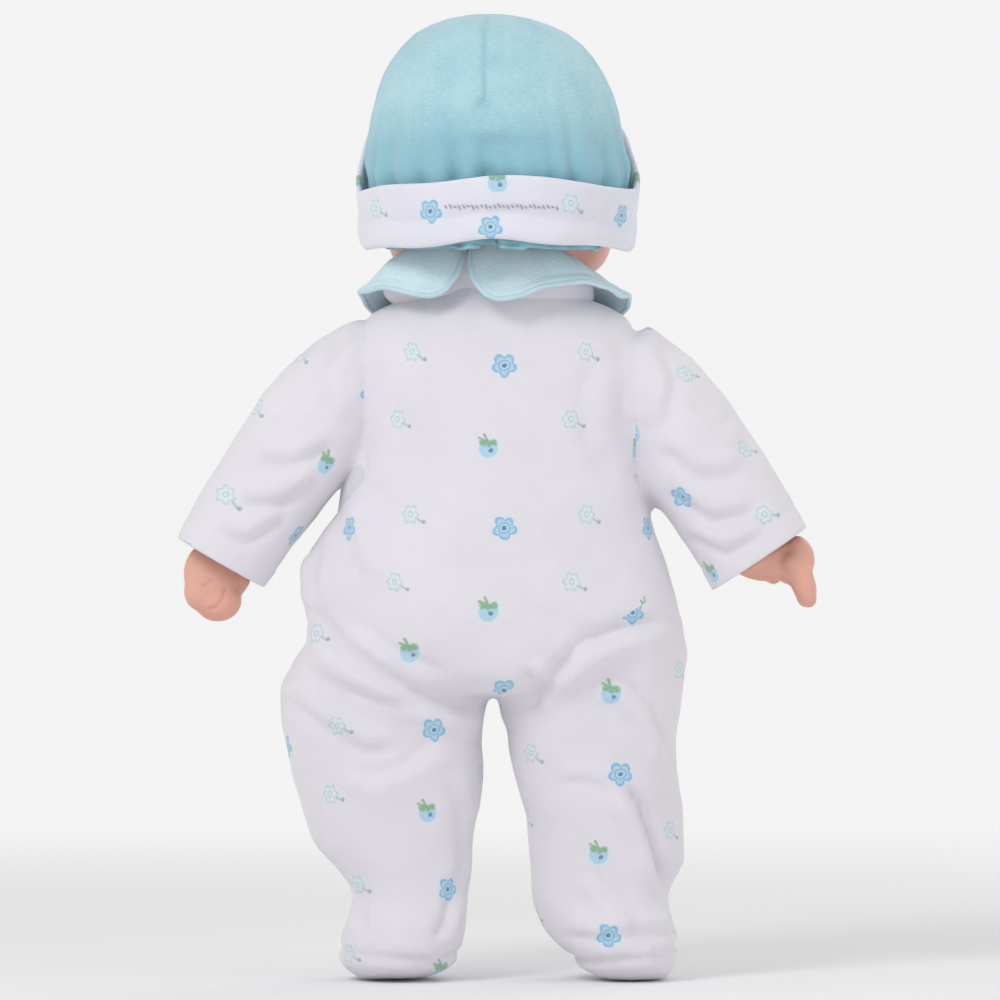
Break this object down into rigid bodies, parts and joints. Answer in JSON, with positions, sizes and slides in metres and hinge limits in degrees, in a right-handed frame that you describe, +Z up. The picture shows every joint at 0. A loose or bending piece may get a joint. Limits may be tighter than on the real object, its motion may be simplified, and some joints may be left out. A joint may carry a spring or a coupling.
{
  "type": "interactive baby doll",
  "caption": "Soft-bodied baby doll in a knit hat, collared footed sleeper and bare vinyl hands, with turning head and limbs, closing eyes and a press-to-play sound unit in its tummy.",
  "frame": {"origin": "On the floor under the middle of the standing doll.", "axes": "+Z up along the body, the doll faces -Y, +X to its own left."},
  "size_m": [0.2397, 0.1129, 0.3543],
  "materials": {
    "aqua_knit": "matt heathered jersey knit",
    "printed_jersey": "matt cotton jersey with a small flower print",
    "body_cloth": "plain woven cloth",
    "polyester_filling": "fluffy white filling",
    "skin_vinyl": "soft satin vinyl",
    "eye_plastic": "glossy",
    "white_plastic": "moulded, fine texture",
    "black_plastic": "moulded",
    "nylon_tie": "translucent nylon",
    "snap_plastic": "glossy",
    "steel": "bright zinc plated",
    "battery_wrap": "printed sleeve over a steel can",
    "board_green": "solder mask over glass fibre",
    "cone_paper": "pressed paper",
    "grey_foam": "open-cell foam",
    "lead_jacket": "flexible jacket"
  },
  "bodies": {
    "torso": {"sleeper_body": "printed_jersey", "front_placket": "printed_jersey", "placket_snaps": "snap_plastic", "collar_left": "aqua_knit", "collar_right": "aqua_knit", "body_skin": "body_cloth", "body_flap": "body_cloth", "body_stuffing": "polyester_filling", "neck_tie": "nylon_tie", "case_front": "white_plastic", "case_back": "white_plastic", "case_screws": "steel", "battery_door": "white_plastic", "door_screw": "steel", "batteries": "battery_wrap", "battery_springs": "steel", "battery_plates": "steel", "speaker_frame": "black_plastic", "speaker_cone": "cone_paper", "speaker_magnet": "steel", "circuit_board": "board_green", "voice_chip": "black_plastic", "switch_body": "black_plastic", "pad_base": "white_plastic", "pad_foam": "grey_foam", "pad_button": "black_plastic", "pad_lead": "lead_jacket"},
    "tummy_cap": {"pad_cap": "snap_plastic"},
    "power_knob": {"switch_knob": "black_plastic"},
    "head": {"head_shell": "skin_vinyl"},
    "eyes": {"eyeball_left": "eye_plastic", "eyeball_right": "eye_plastic", "eye_rocker": "white_plastic", "eye_weight": "steel"},
    "hat": {"hat_crown": "aqua_knit", "hat_cuff": "printed_jersey"},
    "arm_left": {"sleeve_left": "printed_jersey", "upper_arm_left": "body_cloth", "arm_tie_left": "nylon_tie"},
    "hand_left": {"forearm_left": "skin_vinyl"},
    "leg_left": {"sleeper_leg_left": "printed_jersey", "sleeper_sole_left": "printed_jersey", "thigh_left": "body_cloth", "leg_tie_left": "nylon_tie", "lower_leg_left": "skin_vinyl"},
    "arm_right": {"sleeve_right": "printed_jersey", "upper_arm_right": "body_cloth", "arm_tie_right": "nylon_tie"},
    "hand_right": {"forearm_right": "skin_vinyl"},
    "leg_right": {"sleeper_leg_right": "printed_jersey", "sleeper_sole_right": "printed_jersey", "thigh_right": "body_cloth", "leg_tie_right": "nylon_tie", "lower_leg_right": "skin_vinyl"}
  },
  "joints": [
    {"name": "head_turn", "type": "hinge", "parent": "torso", "child": "head", "pos_m": [0, 0, 0.2405], "axis": [0, 0, 1], "range_deg": [-60, 60]},
    {"name": "eyes_close", "type": "hinge", "parent": "head", "child": "eyes", "pos_m": [0, -0.03711, 0.296], "axis": [1, 0, 0], "range_deg": [0, 80]},
    {"name": "hat_pull_off", "type": "slide", "parent": "head", "child": "hat", "axis": [0, 0, 1], "range_m": [0, 0.11]},
    {"name": "arm_swing_left", "type": "hinge", "parent": "torso", "child": "arm_left", "pos_m": [0.05264, 0, 0.222], "axis": [-1, 0, 0], "range_deg": [-45, 120]},
    {"name": "hand_twist_left", "type": "hinge", "parent": "arm_left", "child": "hand_left", "pos_m": [0.05264, 0, 0.222], "axis": [0.5344, 0, -0.8453], "range_deg": [-60, 60]},
    {"name": "hip_swing_left", "type": "hinge", "parent": "torso", "child": "leg_left", "pos_m": [0.03819, -0.006, 0.112], "axis": [-1, 0, 0], "range_deg": [0, 88]},
    {"name": "arm_swing_right", "type": "hinge", "parent": "torso", "child": "arm_right", "pos_m": [-0.05264, 0, 0.222], "axis": [-1, 0, 0], "range_deg": [-45, 120]},
    {"name": "hand_twist_right", "type": "hinge", "parent": "arm_right", "child": "hand_right", "pos_m": [-0.05264, 0, 0.222], "axis": [-0.5344, 0, -0.8453], "range_deg": [-60, 60]},
    {"name": "hip_swing_right", "type": "hinge", "parent": "torso", "child": "leg_right", "pos_m": [-0.03819, -0.006, 0.112], "axis": [-1, 0, 0], "range_deg": [0, 88]},
    {"name": "tummy_press", "type": "slide", "parent": "torso", "child": "tummy_cap", "axis": [0, 1, 0], "range_m": [0, 0.002], "stiffness_N_per_m": 900, "springref_m": -0.0006, "deforming": ["pad_foam"]},
    {"name": "power_switch", "type": "slide", "parent": "torso", "child": "power_knob", "axis": [1, 0, 0], "range_m": [0, 0.003]}
  ]
}
